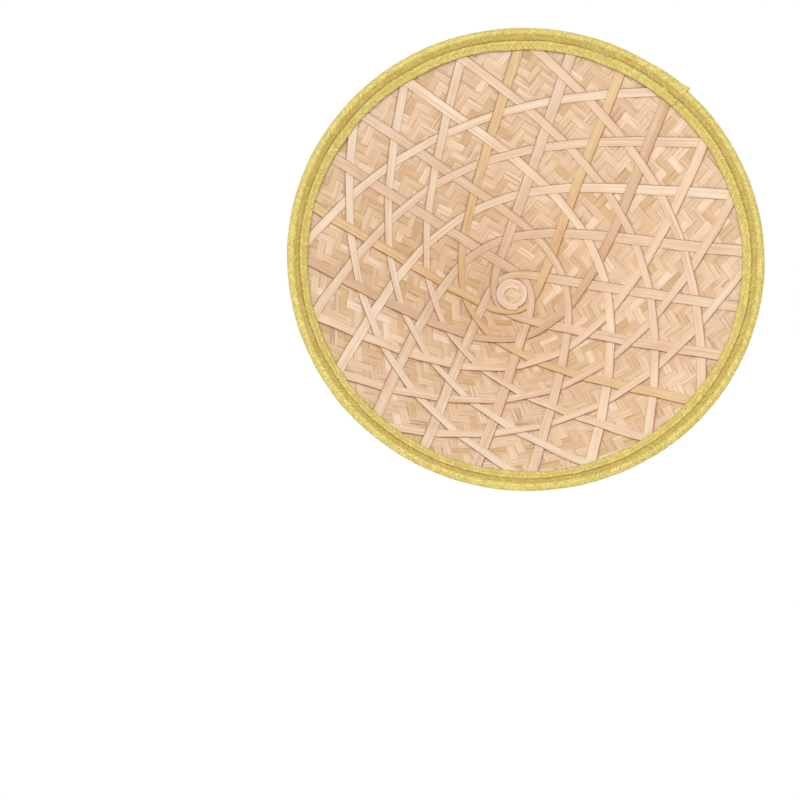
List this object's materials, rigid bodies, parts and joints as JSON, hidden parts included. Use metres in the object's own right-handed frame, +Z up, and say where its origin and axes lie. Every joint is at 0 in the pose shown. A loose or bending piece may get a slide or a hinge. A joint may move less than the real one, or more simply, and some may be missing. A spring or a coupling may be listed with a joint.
{
  "type": "conical hat",
  "caption": "Conical woven bamboo sun hat with an open lattice inside, a tape-bound brim and a plaited cane cap at the tip.",
  "frame": {"origin": "centre of the circle that the brim stands on", "axes": "+Z up the hat's axis to the tip; +X and +Y lie in the brim's plane"},
  "size_m": [0.4199, 0.42, 0.1745],
  "materials": {
    "outer_bamboo": "planed bamboo splints, satin",
    "lining_bamboo": "planed bamboo splints, satin",
    "lattice_bamboo": "planed bamboo strips, satin",
    "hoop_bamboo": "split bamboo",
    "binding_tape": "woven tape, matt",
    "thread": "sewing thread, matt",
    "cane": "split cane, satin",
    "weathered_splint": "weathered bamboo, matt"
  },
  "bodies": {
    "root": {"outer_mat": "outer_bamboo", "lining_mat": "lining_bamboo", "apex_coil": "lattice_bamboo", "rim_hoop": "hoop_bamboo", "rim_binding": "binding_tape", "outer_seam": "thread", "inner_seam": "thread", "cap_canes": "cane", "cap_knot": "cane", "loose_splint": "weathered_splint", "cap_arm_1": "cane", "cap_arm_2": "cane", "cap_arm_3": "cane", "cap_arm_4": "cane", "cap_arm_5": "cane", "cap_arm_6": "cane", "lattice_strip_1_1": "lattice_bamboo", "lattice_strip_1_2": "lattice_bamboo", "lattice_strip_1_3": "lattice_bamboo", "lattice_strip_1_4": "lattice_bamboo", "lattice_strip_1_5": "lattice_bamboo", "lattice_strip_2_1": "lattice_bamboo", "lattice_strip_2_2": "lattice_bamboo", "lattice_strip_2_3": "lattice_bamboo", "lattice_strip_2_4": "lattice_bamboo", "lattice_strip_2_5": "lattice_bamboo", "lattice_strip_3_1": "lattice_bamboo", "lattice_strip_3_2": "lattice_bamboo", "lattice_strip_3_3": "lattice_bamboo", "lattice_strip_3_4": "lattice_bamboo", "lattice_strip_3_5": "lattice_bamboo", "lattice_strip_4_1": "lattice_bamboo", "lattice_strip_4_2": "lattice_bamboo", "lattice_strip_4_3": "lattice_bamboo", "lattice_strip_4_4": "lattice_bamboo", "lattice_strip_4_5": "lattice_bamboo"}
  },
  "joints": []
}
